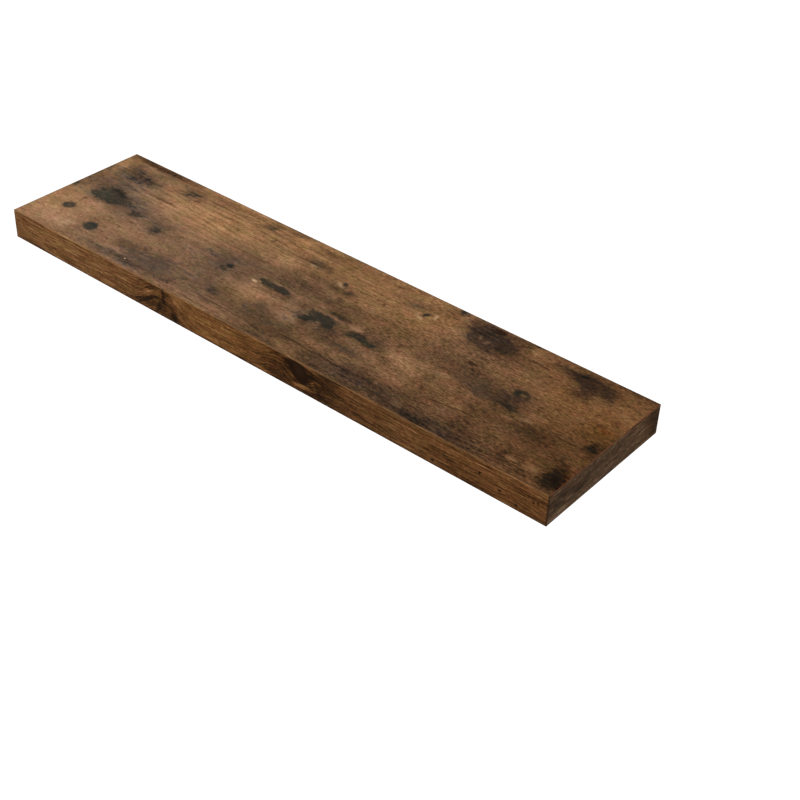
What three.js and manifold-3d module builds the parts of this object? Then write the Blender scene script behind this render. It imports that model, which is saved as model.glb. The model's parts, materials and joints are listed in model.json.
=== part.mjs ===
// A floating wall shelf, in millimetres: a hollow board that slides onto the rods of a steel bracket.
// X runs along the shelf, Y points back to the wall and Z points up.
// The origin is the middle of the bracket's back face, where it lies against the wall.
import * as THREE from "three";
import { mergeVertices } from "three/addons/utils/BufferGeometryUtils.js";
import Module from "manifold-3d";

const wasm = await Module();
wasm.setup();

// The board, as it is sold
const LENGTH = 800;
const DEPTH = 200;
const THICKNESS = 38;

// Its skins and edge bands
const SKIN = 3;
const BAND = 1;
const BAND_ROUNDING = 0.5;

// The frame between the skins, all in battens of one height
const FRONT_RAIL_WIDTH = 30;
const END_RAIL_WIDTH = 30;
const REAR_RAIL_WIDTH = 45;
const ROD_BATTEN_WIDTH = 40;

// The paper core in the bays of the frame
const CELL_ACROSS_FLATS = 25;
const PAPER = 0.4;
const GLUE_LAP = 0.1;
const CORE_CLEARANCE = 0.4;

// The bracket: a flat steel bar with three rods welded to its front
const ROD_FROM_END = 130;
const ROD_DIAMETER = 12;
const ROD_REACH = 120;
const ROD_TIP_CHAMFER = 1.5;
const WELD_LEG = 2.5;
const PLATE_THICKNESS = 3;
const PLATE_OVERHANG = 50;
const PLATE_CORNER = 4;
const SLOT_WIDTH = 6.5;
const SLOT_LENGTH = 15;
const SLOT_FROM_END = 16;

// The groove and the bores in the rear rail, which take the bracket
const GROOVE_LIP = 3;
const GROOVE_CLEARANCE = 0.8;
const HEAD_ROOM = 3.5;
const ROD_CLEARANCE = 0.3;
const BORE_END_ROOM = 4;

// The screws under the shelf, which lock it on the two outer rods
const SCREW_DIAMETER = 4;
const SCREW_HEAD_DIAMETER = 7.6;
const SCREW_HEAD_RIM = 0.4;
const SCREW_TIP_CHAMFER = 0.8;
const SCREW_SUNK = 0.2;
const SCREW_CLEARANCE = 0.3;
const SCREW_TIP_GAP = 0.3;
const DRIVE_ARM_WIDTH = 1;
const DRIVE_ARM_SPAN = 4.2;
const DRIVE_DEPTH = 1.5;

// Cutters run this far past the faces that they go through
const OVERRUN = 5;

const ROD_SIDES = 32;
const SCREW_SIDES = 20;
const CORNER_STEPS = 4;

// Where the main faces and pieces lie
const UP = new THREE.Vector3(0, 0, 1);
const topZ = THICKNESS / 2;
const bottomZ = -topZ;
const coreTopZ = topZ - SKIN;
const coreBottomZ = -coreTopZ;
const frontY = -DEPTH;
const boardFrontY = frontY + BAND;
const bayFrontY = boardFrontY + FRONT_RAIL_WIDTH;
const bayBackY = -REAR_RAIL_WIDTH;
const endX = LENGTH / 2;
const boardEndX = endX - BAND;
const endRailX = boardEndX - END_RAIL_WIDTH;
const outerRodX = endX - ROD_FROM_END;
const rodXs = { left: -outerRodX, centre: 0, right: outerRodX };
const halfBatten = ROD_BATTEN_WIDTH / 2;
const grooveFrontY = -PLATE_THICKNESS - HEAD_ROOM;
const grooveTopZ = coreTopZ - GROOVE_LIP;
const plateHeight = 2 * (grooveTopZ - GROOVE_CLEARANCE);
const plateEndX = outerRodX + PLATE_OVERHANG;
const rodRadius = ROD_DIAMETER / 2;
const screwY = (grooveFrontY + bayBackY) / 2;
const screwHeadZ = bottomZ + SCREW_SUNK;
const screwLength = -rodRadius - SCREW_TIP_GAP - screwHeadZ;

const decorFoil = new THREE.MeshStandardMaterial({ color: 0x7a5539, roughness: 0.55, metalness: 0 });
const bandDecor = new THREE.MeshStandardMaterial({ color: 0x70481f, roughness: 0.5, metalness: 0 });
const rawBoard = new THREE.MeshStandardMaterial({ color: 0xa98a62, roughness: 0.9, metalness: 0 });
const kraftPaper = new THREE.MeshStandardMaterial({ color: 0xb8935f, roughness: 0.95, metalness: 0 });
const zincSteel = new THREE.MeshStandardMaterial({ color: 0xb9bcc0, roughness: 0.35, metalness: 0.9 });

// A closed geometry as a solid that can be cut and joined
function solid(geometry) {
  const bare = geometry.clone();
  bare.deleteAttribute("normal");
  bare.deleteAttribute("uv");
  const merged = mergeVertices(bare);
  return new wasm.Manifold(
    new wasm.Mesh({
      numProp: 3,
      vertProperties: merged.attributes.position.array,
      triVerts: new Uint32Array(merged.index.array),
    }),
  );
}

// A cut or joined solid as a named piece of one material
function piece(name, body, material) {
  const { numProp, numVert, vertProperties, triVerts } = body.getMesh();
  const position = new Float32Array(3 * numVert);
  for (let i = 0; i < numVert; i += 1) {
    position.set(vertProperties.subarray(i * numProp, i * numProp + 3), 3 * i);
  }
  const geometry = new THREE.BufferGeometry();
  geometry.setAttribute("position", new THREE.BufferAttribute(position, 3));
  geometry.setIndex(new THREE.BufferAttribute(new Uint32Array(triVerts), 1));
  geometry.computeVertexNormals();
  const mesh = new THREE.Mesh(geometry, material);
  mesh.name = name;
  return mesh;
}

const cutFrom = (body, cutters) => cutters.reduce((left, cutter) => left.subtract(cutter), body);

// A block between two corners
function block([x0, y0, z0], [x1, y1, z1]) {
  const geometry = new THREE.BoxGeometry(x1 - x0, y1 - y0, z1 - z0);
  geometry.translate((x0 + x1) / 2, (y0 + y1) / 2, (z0 + z1) / 2);
  return solid(geometry);
}

// A batten as high as the frame, between two corners seen from above
const batten = ([x0, y0], [x1, y1]) => block([x0, y0, coreBottomZ], [x1, y1, coreTopZ]);

// A profile of [radius, height] points turned round the Y axis
function turned(profile, sides) {
  const points = profile.map(([radius, height]) => new THREE.Vector2(radius, height));
  return new THREE.LatheGeometry(points, sides);
}

function extruded(shape, depth) {
  return new THREE.ExtrudeGeometry(shape, { depth, bevelEnabled: false, curveSegments: CORNER_STEPS });
}

// A rectangle with corners of one radius
function roundedRectangle(centreX, width, height, radius) {
  const [x, y] = [width / 2 - radius, height / 2 - radius];
  const corners = [[x, y], [-x, y], [-x, -y], [x, -y]];
  const shape = new THREE.Shape();
  corners.forEach(([cornerX, cornerY], i) => {
    const start = (i * Math.PI) / 2;
    shape.absarc(centreX + cornerX, cornerY, radius, start, start + Math.PI / 2);
  });
  shape.closePath();
  return shape;
}

// The bracket's flat bar, with slots that let the wall screws be set sideways
function bracketPlate() {
  const shape = roundedRectangle(0, 2 * plateEndX, plateHeight, PLATE_CORNER);
  const slotXs = [outerRodX / 2, plateEndX - SLOT_FROM_END];
  for (const x of slotXs.flatMap((slotX) => [-slotX, slotX])) {
    shape.holes.push(roundedRectangle(x, SLOT_LENGTH, SLOT_WIDTH, SLOT_WIDTH / 2));
  }
  const bar = extruded(shape, PLATE_THICKNESS);
  bar.rotateX(Math.PI / 2);
  return solid(bar);
}

// A rod with the fillet of weld round its root and a chamfer that finds the bore
function bracketRod() {
  const fillet = Array.from({ length: CORNER_STEPS + 1 }, (_, step) => {
    const turn = ((step / CORNER_STEPS) * Math.PI) / 2;
    return [rodRadius + WELD_LEG * (1 - Math.sin(turn)), WELD_LEG * (1 - Math.cos(turn))];
  });
  const profile = [
    [0, 0],
    ...fillet,
    [rodRadius, ROD_REACH - ROD_TIP_CHAMFER],
    [rodRadius - ROD_TIP_CHAMFER, ROD_REACH],
    [0, ROD_REACH],
  ];
  const rod = turned(profile, ROD_SIDES);
  rod.rotateX(Math.PI);
  return solid(rod);
}

// What is bored out of the frame for a rod, from behind the shelf to past the rod's tip
function rodBore(x) {
  const radius = rodRadius + ROD_CLEARANCE;
  const length = PLATE_THICKNESS + ROD_REACH + BORE_END_ROOM;
  const bore = turned([[0, -OVERRUN], [radius, -OVERRUN], [radius, length], [0, length]], ROD_SIDES);
  bore.rotateX(Math.PI);
  bore.translate(x, 0, 0);
  return solid(bore);
}

// Half the outline of a countersunk head down to its shank, wider by a clearance where it is a hole
function countersink(startZ, clearance) {
  const head = SCREW_HEAD_DIAMETER / 2 + clearance;
  const shank = SCREW_DIAMETER / 2 + clearance;
  return [[0, startZ], [head, startZ], [head, SCREW_HEAD_RIM], [shank, SCREW_HEAD_RIM + head - shank]];
}

// A locking screw that stands on its head, with a cross recess in it and a chamfered tip
function lockScrew() {
  const shank = SCREW_DIAMETER / 2;
  const profile = [
    ...countersink(0, 0),
    [shank, screwLength - SCREW_TIP_CHAMFER],
    [shank - SCREW_TIP_CHAMFER, screwLength],
    [0, screwLength],
  ];
  const screw = turned(profile, SCREW_SIDES);
  screw.rotateX(Math.PI / 2);
  const [span, width] = [DRIVE_ARM_SPAN / 2, DRIVE_ARM_WIDTH / 2];
  const arms = [[span, width], [width, span]];
  return cutFrom(
    solid(screw),
    arms.map(([x, y]) => block([-x, -y, -OVERRUN], [x, y, DRIVE_DEPTH])),
  );
}

// The hole for it, through the bottom skin and the rear rail into the rod's bore
function lockScrewHole(x) {
  const shank = SCREW_DIAMETER / 2 + SCREW_CLEARANCE;
  const profile = [...countersink(-OVERRUN, SCREW_CLEARANCE), [shank, -screwHeadZ], [0, -screwHeadZ]];
  const hole = turned(profile, SCREW_SIDES);
  hole.rotateX(Math.PI / 2);
  hole.translate(x, screwY, screwHeadZ);
  return solid(hole);
}

const lockScrewHoles = [rodXs.left, rodXs.right].map(lockScrewHole);

// The rail behind, with the bracket's groove along its back, the rods' bores and the screws' holes
function rearRail() {
  const grooveEndX = plateEndX + GROOVE_CLEARANCE;
  const groove = block([-grooveEndX, grooveFrontY, -grooveTopZ], [grooveEndX, OVERRUN, grooveTopZ]);
  const rail = batten([-boardEndX, bayBackY], [boardEndX, 0]);
  return cutFrom(rail, [groove, ...Object.values(rodXs).map(rodBore), ...lockScrewHoles]);
}

// A batten from front to back that carries the rod's tip in a blind bore
function rodBatten(x) {
  return batten([x - halfBatten, bayFrontY], [x + halfBatten, bayBackY]).subtract(rodBore(x));
}

// An edge band's section: its inner face stands on the Y axis, and its two outer edges are rounded
function bandSection() {
  const [x, z] = [BAND - BAND_ROUNDING, topZ - BAND_ROUNDING];
  const shape = new THREE.Shape();
  shape.moveTo(0, bottomZ);
  shape.absarc(x, -z, BAND_ROUNDING, -Math.PI / 2, 0);
  shape.absarc(x, z, BAND_ROUNDING, 0, Math.PI / 2);
  shape.lineTo(0, topZ);
  shape.closePath();
  return shape;
}

// A band that faces outward, from a start in the board's plane towards its own left hand
function edgeBand(outward, start, length) {
  const along = outward.clone().cross(UP);
  const strip = extruded(bandSection(), length);
  strip.applyMatrix4(new THREE.Matrix4().makeBasis(outward, UP, along).setPosition(start));
  return solid(strip);
}

// The front band covers the front ends of the other two, and its own corners are rounded too
function frontBand() {
  const strip = edgeBand(new THREE.Vector3(0, -1, 0), new THREE.Vector3(endX, boardFrontY, 0), LENGTH);
  const cornerX = endX - BAND_ROUNDING;
  const cornerY = frontY + BAND_ROUNDING;
  const plan = new THREE.Shape();
  plan.moveTo(-endX, boardFrontY);
  plan.absarc(-cornerX, cornerY, BAND_ROUNDING, Math.PI, 1.5 * Math.PI);
  plan.absarc(cornerX, cornerY, BAND_ROUNDING, -Math.PI / 2, 0);
  plan.lineTo(endX, boardFrontY);
  plan.closePath();
  const cutter = extruded(plan, THICKNESS + 2 * OVERRUN);
  cutter.translate(0, 0, bottomZ - OVERRUN);
  return strip.intersect(solid(cutter));
}

// A paper strip along a path of fold points, seen from above, with mitred folds
function paperStrip(path) {
  const [near, far] = [[], []];
  path.forEach((fold, i) => {
    const next = path[i + 1] ?? fold;
    const last = path[i - 1] ?? fold;
    const arriving = fold.clone().sub(last);
    const leaving = next.clone().sub(fold);
    const into = (i > 0 ? arriving : leaving).normalize();
    const outOf = (i < path.length - 1 ? leaving : arriving).normalize();
    const middle = into.clone().add(outOf).normalize();
    const offset = PAPER / 2 / middle.dot(into);
    const across = new THREE.Vector2(-middle.y, middle.x).multiplyScalar(offset);
    near.push(fold.clone().sub(across));
    far.unshift(fold.clone().add(across));
  });
  const height = coreTopZ - coreBottomZ + 2 * OVERRUN;
  const strip = extruded(new THREE.Shape([...near, ...far]), height);
  strip.translate(0, 0, coreBottomZ - OVERRUN);
  return solid(strip);
}

// The honeycomb that fills a bay of the frame. Each strip of paper zigzags between two levels,
// and where it is flat it is glued to its neighbour. The loose scraps at the cut edges are dropped.
function paperCore(bayLeftX, bayRightX) {
  const side = CELL_ACROSS_FLATS / Math.sqrt(3);
  const pitch = 1.5 * side;
  const rise = CELL_ACROSS_FLATS / 2;
  const glueShift = (PAPER - GLUE_LAP) / 2;
  const flatCount = Math.ceil((bayRightX - bayLeftX) / pitch) + 2;
  const stripCount = Math.ceil((bayBackY - bayFrontY) / rise) + 2;
  const startX = (bayLeftX + bayRightX - flatCount * pitch) / 2;
  const startY = (bayFrontY + bayBackY - stripCount * rise) / 2;
  const strips = Array.from({ length: stripCount }, (_, k) => {
    const path = Array.from({ length: flatCount }, (_, j) => {
      const high = (j + k) % 2;
      const x = startX + j * pitch;
      const y = startY + (k + high) * rise + (high ? -glueShift : glueShift);
      return [new THREE.Vector2(x, y), new THREE.Vector2(x + side, y)];
    });
    return paperStrip(path.flat());
  });
  const bay = batten(
    [bayLeftX + CORE_CLEARANCE, bayFrontY + CORE_CLEARANCE],
    [bayRightX - CORE_CLEARANCE, bayBackY - CORE_CLEARANCE],
  );
  const parts = strips.reduce((joined, strip) => joined.add(strip)).intersect(bay).decompose();
  return parts.reduce((largest, part) => (part.volume() > largest.volume() ? part : largest));
}

const bracket = new THREE.Group();
bracket.add(piece("bracket_plate", bracketPlate(), zincSteel));
for (const [side, x] of Object.entries(rodXs)) {
  const rod = piece(`bracket_rod_${side}`, bracketRod(), zincSteel);
  rod.position.set(x, -PLATE_THICKNESS, 0);
  bracket.add(rod);
}

const skin = (z0, z1) => block([-boardEndX, boardFrontY, z0], [boardEndX, 0, z1]);
const board = new THREE.Group();
board.add(
  piece("top_skin", skin(coreTopZ, topZ), decorFoil),
  piece("bottom_skin", cutFrom(skin(bottomZ, coreBottomZ), lockScrewHoles), decorFoil),
  piece("front_rail", batten([-boardEndX, boardFrontY], [boardEndX, bayFrontY]), rawBoard),
  piece("rear_rail", rearRail(), rawBoard),
  piece("left_end_rail", batten([-boardEndX, bayFrontY], [-endRailX, bayBackY]), rawBoard),
  piece("right_end_rail", batten([endRailX, bayFrontY], [boardEndX, bayBackY]), rawBoard),
);
for (const [side, x] of Object.entries(rodXs)) {
  board.add(piece(`rod_batten_${side}`, rodBatten(x), rawBoard));
}

const bays = {
  far_left: [-endRailX, rodXs.left - halfBatten],
  mid_left: [rodXs.left + halfBatten, -halfBatten],
  mid_right: [halfBatten, rodXs.right - halfBatten],
  far_right: [rodXs.right + halfBatten, endRailX],
};
for (const [place, [x0, x1]] of Object.entries(bays)) {
  board.add(piece(`paper_core_${place}`, paperCore(x0, x1), kraftPaper));
}

const endBandLength = DEPTH - BAND;
const leftBand = edgeBand(
  new THREE.Vector3(-1, 0, 0),
  new THREE.Vector3(-boardEndX, boardFrontY, 0),
  endBandLength,
);
const rightBand = edgeBand(new THREE.Vector3(1, 0, 0), new THREE.Vector3(boardEndX, 0, 0), endBandLength);
board.add(
  piece("front_edge_band", frontBand(), bandDecor),
  piece("left_edge_band", leftBand, bandDecor),
  piece("right_edge_band", rightBand, bandDecor),
);

const lockScrews = new THREE.Group();
for (const side of ["left", "right"]) {
  const screw = piece(`lock_screw_${side}`, lockScrew(), zincSteel);
  screw.position.set(rodXs[side], screwY, screwHeadZ);
  lockScrews.add(screw);
}

const shelf = new THREE.Group();
shelf.add(bracket, board, lockScrews);

export default shelf;
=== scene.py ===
# %% [markdown]
# # A floating wall shelf
# The real shelf is a hollow board. Two thin skins and a frame of battens hold a paper honeycomb, and
# the whole board slides onto the rods of a steel bracket that nobody sees once it hangs. What makes it
# look old and heavy is only a printed foil. So the work here is mostly in the finishes: the print on the
# top, the underside and the edges, and then the plain materials that show when the board is pulled off.
#
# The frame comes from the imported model, in metres. X runs along the shelf, Y back to the wall, Z up.

# %% Load the frame
import json
import math

import bpy
from mathutils import Matrix, Vector


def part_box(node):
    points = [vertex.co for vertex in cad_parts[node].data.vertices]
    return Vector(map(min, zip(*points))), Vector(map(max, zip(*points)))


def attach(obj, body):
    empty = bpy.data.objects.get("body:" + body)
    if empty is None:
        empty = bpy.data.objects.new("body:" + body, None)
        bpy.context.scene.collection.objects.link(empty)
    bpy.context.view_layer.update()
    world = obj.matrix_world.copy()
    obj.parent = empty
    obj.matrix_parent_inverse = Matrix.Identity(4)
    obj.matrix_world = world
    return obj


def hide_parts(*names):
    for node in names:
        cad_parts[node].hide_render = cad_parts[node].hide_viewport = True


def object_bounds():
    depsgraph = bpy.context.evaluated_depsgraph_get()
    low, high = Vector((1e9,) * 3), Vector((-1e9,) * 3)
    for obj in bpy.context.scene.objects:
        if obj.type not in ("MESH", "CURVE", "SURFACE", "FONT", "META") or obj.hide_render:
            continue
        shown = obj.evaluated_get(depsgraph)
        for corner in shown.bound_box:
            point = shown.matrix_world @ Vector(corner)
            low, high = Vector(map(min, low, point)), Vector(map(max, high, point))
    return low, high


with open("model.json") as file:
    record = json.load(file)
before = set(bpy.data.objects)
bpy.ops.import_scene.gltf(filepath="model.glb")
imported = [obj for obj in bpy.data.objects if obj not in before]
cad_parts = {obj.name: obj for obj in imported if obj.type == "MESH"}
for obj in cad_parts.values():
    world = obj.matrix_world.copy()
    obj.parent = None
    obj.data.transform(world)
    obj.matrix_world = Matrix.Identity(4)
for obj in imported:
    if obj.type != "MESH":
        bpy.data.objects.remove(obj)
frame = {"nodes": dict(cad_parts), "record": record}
nodes = frame["nodes"]
cad_low, cad_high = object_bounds()
print("The CAD model's box, in metres:", [round(high - low, 4) for low, high in zip(cad_low, cad_high)])

# %% [markdown]
# ## The camera
# A picture of a plain box is enough to find the camera that took it. The straight edges of the shelf's
# outline were measured in the photograph, and these values lay the edges of a box of 800 by 200 by 38 mm
# along them. The lens is given in pixels of an image that is 800 pixels wide, and Blender wants it in
# millimetres on its sensor.

# %% Camera
IMAGE_PIXELS = 800
LENS_PIXELS = 1504.7
AZIMUTH = math.radians(38.2816)
ELEVATION = math.radians(36.7952)
ROLL = math.radians(2.5973)
CAMERA_PLACE = Vector((0.9654, -1.1538, 0.9487))

lens = bpy.data.cameras.new("photo_camera")
lens.lens = LENS_PIXELS * lens.sensor_width / IMAGE_PIXELS
camera = bpy.data.objects.new("photo_camera", lens)
bpy.context.scene.collection.objects.link(camera)
backward = Vector((
    math.sin(AZIMUTH) * math.cos(ELEVATION),
    -math.cos(AZIMUTH) * math.cos(ELEVATION),
    math.sin(ELEVATION),
))
level_right = Vector((0, 0, 1)).cross(backward).normalized()
level_up = backward.cross(level_right)
turn = Matrix((level_right, level_up, backward)).transposed() @ Matrix.Rotation(ROLL, 3, "Z")
camera.matrix_world = Matrix.Translation(CAMERA_PLACE) @ turn.to_4x4()
bpy.context.scene.camera = camera
print("Lens in millimetres:", round(lens.lens, 2))

# %% [markdown]
# ## Modelling by hand, in code
# An operator works on whatever is selected, so each piece starts with nothing else selected. Faces and
# edges are then picked by where they are and where they point, which is how one would click on them.
# When a piece is done, its place goes into its mesh, so that every object stands at the origin.

# %% Tools for modelling
MM = 0.001
STRAIGHT = 0.9
CLOSE = 0.1 * MM
own_pieces = {}


def select_nothing():
    """Leaves edit mode, if a piece is in it, and clears the selection."""
    if bpy.context.object:
        bpy.ops.object.mode_set(mode="OBJECT")
    bpy.ops.object.select_all(action="DESELECT")


def alone(*pieces):
    """Selects these pieces and nothing else."""
    select_nothing()
    for piece in pieces:
        piece.select_set(True)
    bpy.context.view_layer.objects.active = pieces[0]


def started(name):
    """Takes up the primitive that was just added. Its size and turn go into its mesh."""
    piece = bpy.context.object
    piece.name = name
    bpy.ops.object.transform_apply(location=True, rotation=True, scale=True)
    return piece


def block(name, low, high):
    """A box between two corners, as the start of a piece."""
    select_nothing()
    middle = (Vector(low) + Vector(high)) / 2
    bpy.ops.mesh.primitive_cube_add(size=1, location=middle)
    bpy.context.object.scale = Vector(high) - Vector(low)
    return started(name)


def rod_blank(name, radius, low, high, axis, sides):
    """A round bar between two points that lie along one axis."""
    select_nothing()
    low, high = Vector(low), Vector(high)
    turn = (math.pi / 2, 0, 0) if axis == "Y" else (0, 0, 0)
    depth = (high - low).length
    middle = (low + high) / 2
    bpy.ops.mesh.primitive_cylinder_add(
        vertices=sides, radius=radius, depth=depth, location=middle, rotation=turn)
    return started(name)


def pick(piece, part, test):
    """Selects the faces, edges or vertices of a piece for which the test says yes, in edit mode."""
    alone(piece)
    mesh = piece.data
    for element in (*mesh.polygons, *mesh.edges, *mesh.vertices):
        element.select = False
    if part == "FACE":
        for face in mesh.polygons:
            face.select = test(face.center, face.normal)
    elif part == "EDGE":
        for edge in mesh.edges:
            start, end = [mesh.vertices[index].co for index in edge.vertices]
            edge.select = test((start + end) / 2, (end - start).normalized())
    else:
        for vertex in mesh.vertices:
            vertex.select = test(vertex.co)
    bpy.ops.object.mode_set(mode="EDIT")
    bpy.ops.mesh.select_mode(type=part)


def faces_up(middle, normal):
    return normal.z > STRAIGHT


def runs_back(middle, way):
    return abs(way.y) > STRAIGHT


def round_corners(piece, radius, segments):
    """Rounds the edges that run from the front to the wall."""
    pick(piece, "EDGE", runs_back)
    bpy.ops.mesh.bevel(offset=radius, segments=segments, affect="EDGES")


def pull_out(way, steps, radius):
    """Extrudes the picked round face one way in steps, as (length, radius at its end) in millimetres."""
    for length, end in steps:
        bpy.ops.mesh.extrude_region_move(TRANSFORM_OT_translate={"value": way * length * MM})
        scale = [1 if part else end * MM / radius for part in way]
        bpy.ops.transform.resize(value=scale, center_override=(0, 0, 0))
        radius = end * MM


def cut(piece, *cutters):
    """Takes the cutters out of the piece, and deletes them."""
    for cutter in cutters:
        alone(piece)
        modifier = piece.modifiers.new("cut", "BOOLEAN")
        modifier.object = cutter
        modifier.solver = "EXACT"
        bpy.ops.object.modifier_apply(modifier=modifier.name)
        bpy.data.objects.remove(cutter)


def smoothed(piece, degrees=30):
    alone(piece)
    bpy.ops.object.shade_smooth_by_angle(angle=math.radians(degrees))


def copied(piece, name, step):
    """A copy of a piece that stands a step away from it."""
    alone(piece)
    bpy.ops.object.duplicate(linked=False)
    bpy.ops.transform.translate(value=step)
    return started(name)


def put_in_place(piece, body, node):
    """Says what a finished piece rides on and which plain node it stands for, and hides that node."""
    select_nothing()
    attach(piece, body)
    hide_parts(node)
    own_pieces[node] = piece
    print(piece.name, "has", len(piece.data.polygons), "faces")


# %% [markdown]
# ## Edge bands
# A band is a strip of printed plastic, 1 mm thick, that is glued on hot and then scraped flush. The
# scraper rounds its two long edges, and that tiny rounding catches the light along the whole shelf. A box
# with two bevelled edges is all it takes. The front band also covers the ends of the side bands, so its
# upright edges are rounded too.

# %% Bands
BAND_ROUNDING = 0.45 * MM


def edge_band(node, outward):
    low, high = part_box(node)
    band = block("band_" + node.split("_")[0], low, high)
    outside = max(low.dot(outward), high.dot(outward))

    def rounded(middle, way):
        on_outside = abs(middle.dot(outward) - outside) < CLOSE
        return on_outside and (outward.y != 0 or runs_back(middle, way))

    pick(band, "EDGE", rounded)
    bpy.ops.mesh.bevel(offset=BAND_ROUNDING, segments=5, affect="EDGES")
    smoothed(band)
    put_in_place(band, "board", node)


edge_band("front_edge_band", Vector((0, -1, 0)))
edge_band("left_edge_band", Vector((-1, 0, 0)))
edge_band("right_edge_band", Vector((1, 0, 0)))

# %% [markdown]
# ## The rear rail
# The groove for the bracket's bar is milled along the rail, and its ends keep the cutter's round corners.
# The rods' bores are drilled from the back. They are what one sees when the shelf is off the wall, so
# they are cut with many more sides than the plain model has.

# %% Rear rail
GROOVE_GAP = 0.8 * MM
GROOVE_DEPTH = 6.5 * MM
GROOVE_CORNER = 3.0 * MM
ROD_RADIUS = 6.0 * MM
SCREW_RADIUS = 2.0 * MM
CLEARANCE = 0.3 * MM
BORE_RADIUS = ROD_RADIUS + CLEARANCE
BORE_SIDES = 96
OVERRUN = 5.0 * MM
rod_boxes = {side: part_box("bracket_rod_" + side) for side in ("centre", "left", "right")}
rod_middles = {side: (low[0] + high[0]) / 2 for side, (low, high) in rod_boxes.items()}
screw_boxes = {side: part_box("lock_screw_" + side) for side in ("left", "right")}
screw_y = sum(corner[1] for corner in screw_boxes["left"]) / 2
screw_head = screw_boxes["left"][0].z

rail_low, rail_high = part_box("rear_rail")
bar_low, bar_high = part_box("bracket_plate")
rear_rail = block("rail_rear", rail_low, rail_high)
groove = block(
    "groove",
    (bar_low.x - GROOVE_GAP, -GROOVE_DEPTH, bar_low.z - GROOVE_GAP),
    (bar_high.x + GROOVE_GAP, OVERRUN, bar_high.z + GROOVE_GAP),
)
round_corners(groove, GROOVE_CORNER, segments=8)
bores = [
    rod_blank("bore", BORE_RADIUS, (x, rail_low.y - OVERRUN, 0), (x, OVERRUN, 0), "Y", BORE_SIDES)
    for x in rod_middles.values()
]
cut(rear_rail, groove, *bores)
print("Bores in the rear rail at x =", [round(x / MM) for x in rod_middles.values()])

# %% [markdown]
# The two locking screws come up through the bottom skin into the rail, so the rail has a clearance hole
# for each. The drill breaks into the rod's bore above.

# %% Screw holes
HOLE_RADIUS = SCREW_RADIUS + CLEARANCE
HOLE_SIDES = 48
for side in screw_boxes:
    x = rod_middles[side]
    below = (x, screw_y, rail_low.z - OVERRUN)
    hole = rod_blank("hole", HOLE_RADIUS, below, (x, screw_y, 0), "Z", HOLE_SIDES)
    cut(rear_rail, hole)
smoothed(rear_rail)
put_in_place(rear_rail, "board", "rear_rail")

# %% [markdown]
# ## The bracket's bar
# The bar is cut from flat steel strip. Its corners are rounded, and its four slots let the wall screws be
# set a little sideways before they are tightened. Tumbling takes the sharpness off every edge, which a
# narrow bevel shows.

# %% Bar with its slots
BAR_CORNER = 4.0 * MM
SLOT_HALF_LENGTH = 7.5 * MM
SLOT_HALF_HEIGHT = 3.25 * MM
SLOT_CORNER = SLOT_HALF_HEIGHT * 0.999
SLOT_PLACES = (-304 * MM, -135 * MM, 135 * MM, 304 * MM)
TUMBLED = 0.35 * MM

bar = block("bar", bar_low, bar_high)
round_corners(bar, BAR_CORNER, segments=10)
for x in SLOT_PLACES:
    slot = block(
        "slot",
        (x - SLOT_HALF_LENGTH, bar_low.y - OVERRUN, -SLOT_HALF_HEIGHT),
        (x + SLOT_HALF_LENGTH, bar_high.y + OVERRUN, SLOT_HALF_HEIGHT),
    )
    round_corners(slot, SLOT_CORNER, segments=12)
    cut(bar, slot)
alone(bar)
tumble = bar.modifiers.new("tumble", "BEVEL")
tumble.width = TUMBLED
tumble.segments = 3
tumble.limit_method = "ANGLE"
tumble.angle_limit = math.radians(50)
bpy.ops.object.modifier_apply(modifier=tumble.name)
smoothed(bar)
put_in_place(bar, "bracket", "bracket_plate")

# %% [markdown]
# ## Rods and their welds
# Each rod stands on the bar in a ring of weld. A bead of weld is laid as a row of small puddles, so it
# has fine ripples all round. The rod starts as a bar without its last few millimetres. Its root is then
# drawn out and widened in steps, which makes the bead, and every third row of the bead is pushed out to
# ripple it. The tip is bevelled so that it finds its bore.

# %% One rod
ROD_SIDES = 96
TIP_CHAMFER = 1.5 * MM
BEAD_STEPS = ((0.5, 6.9), (0.6, 7.6), (0.7, 8.1), (0.7, 8.4))
BEAD_HEIGHT = sum(step for step, _ in BEAD_STEPS) * MM
RIPPLE = 0.14 * MM

rod_low, rod_high = rod_boxes["centre"]
root_y = rod_high.y - BEAD_HEIGHT
rod = rod_blank("rod", ROD_RADIUS, (0, rod_low.y, 0), (0, root_y, 0), "Y", ROD_SIDES)
pick(rod, "EDGE", lambda middle, way: abs(middle.y - rod_low.y) < CLOSE)
bpy.ops.mesh.bevel(offset=TIP_CHAMFER, segments=4, profile=0.6, affect="EDGES")
pick(rod, "FACE", lambda middle, normal: normal.y > STRAIGHT)
pull_out(Vector((0, 1, 0)), BEAD_STEPS, ROD_RADIUS)


def ripple_row(place):
    """Says yes to every third row of the bead's points, but not to the ring that lies on the bar."""
    row = round(math.atan2(place.z, place.x) / (2 * math.pi) * ROD_SIDES)
    return root_y + CLOSE < place.y < rod_high.y - CLOSE and row % 3 == 0


pick(rod, "VERT", ripple_row)
bpy.ops.transform.shrink_fatten(value=RIPPLE)
smoothed(rod, 40)

# %% The three rods
for side, x in rod_middles.items():
    piece = copied(rod, "rod_" + side, (x, 0, 0))
    put_in_place(piece, "bracket", "bracket_rod_" + side)
bpy.data.objects.remove(rod)

# %% [markdown]
# ## Locking screws
# A wood screw has a countersunk head, a cross recess, a plain neck, a thinner core and one thread that
# winds round it. Head, neck, core and point are one bar that is drawn out and narrowed step by step. The
# thread is a small triangle that the Screw modifier winds up the core.

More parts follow.
